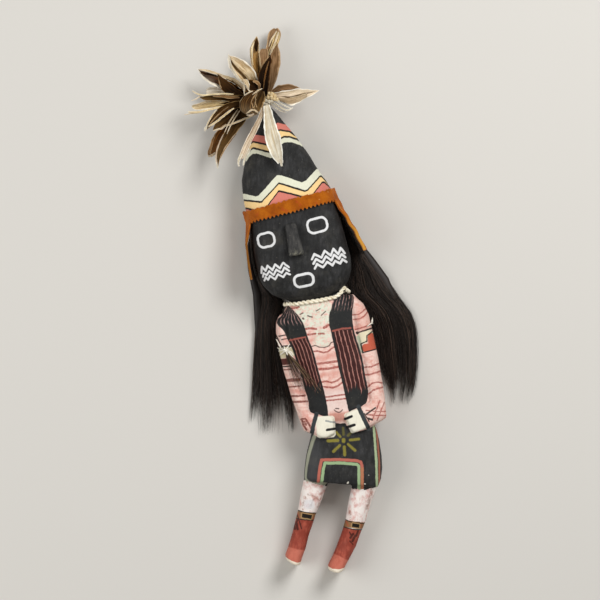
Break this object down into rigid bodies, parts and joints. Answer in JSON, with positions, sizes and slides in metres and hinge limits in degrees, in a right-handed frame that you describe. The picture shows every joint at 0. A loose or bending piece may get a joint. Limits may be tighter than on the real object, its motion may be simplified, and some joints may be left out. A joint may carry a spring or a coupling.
{
  "type": "kachina doll",
  "caption": "Painted carved wooden kachina doll with cone cap, suede headband, horsehair locks and dry husk plume, lying flat on its back.",
  "frame": {"origin": "point of the flat back on which the doll rests, behind the middle of the chest", "axes": "+Z out of the doll's front, +Y along the doll to the head and plume, +X to the viewer's right"},
  "size_m": [0.1156, 0.3333, 0.0427],
  "materials": {
    "painted_wood": "matte paint in charcoal, pink cream, white, green, red and yellow, worn",
    "nose_wood": "dusty dark paint, worn at the lower edge",
    "suede": "matte napped suede, orange brown",
    "horsehair": "long loose strands, slight sheen",
    "cotton_cord": "twisted matte thread",
    "dry_husk": "dry brittle leaf, cream edges and brown middles"
  },
  "bodies": {
    "root": {"carved_figure": "painted_wood", "nose_block": "nose_wood", "leather_headband": "suede", "hair_left": "horsehair", "hair_right": "horsehair", "arm_tuft_left": "horsehair", "neck_cord": "cotton_cord", "arm_tie_left": "cotton_cord", "arm_tie_right": "cotton_cord", "husk_tie": "dry_husk", "husk_leaf_01": "dry_husk", "husk_leaf_02": "dry_husk", "husk_leaf_03": "dry_husk", "husk_leaf_04": "dry_husk", "husk_leaf_05": "dry_husk", "husk_leaf_06": "dry_husk", "husk_leaf_07": "dry_husk", "husk_leaf_08": "dry_husk", "husk_leaf_09": "dry_husk", "husk_leaf_10": "dry_husk", "husk_leaf_11": "dry_husk", "husk_leaf_12": "dry_husk", "husk_leaf_13": "dry_husk", "husk_leaf_14": "dry_husk", "husk_leaf_15": "dry_husk", "husk_leaf_16": "dry_husk", "husk_leaf_17": "dry_husk", "husk_leaf_18": "dry_husk", "husk_leaf_19": "dry_husk", "husk_leaf_20": "dry_husk"}
  },
  "joints": []
}
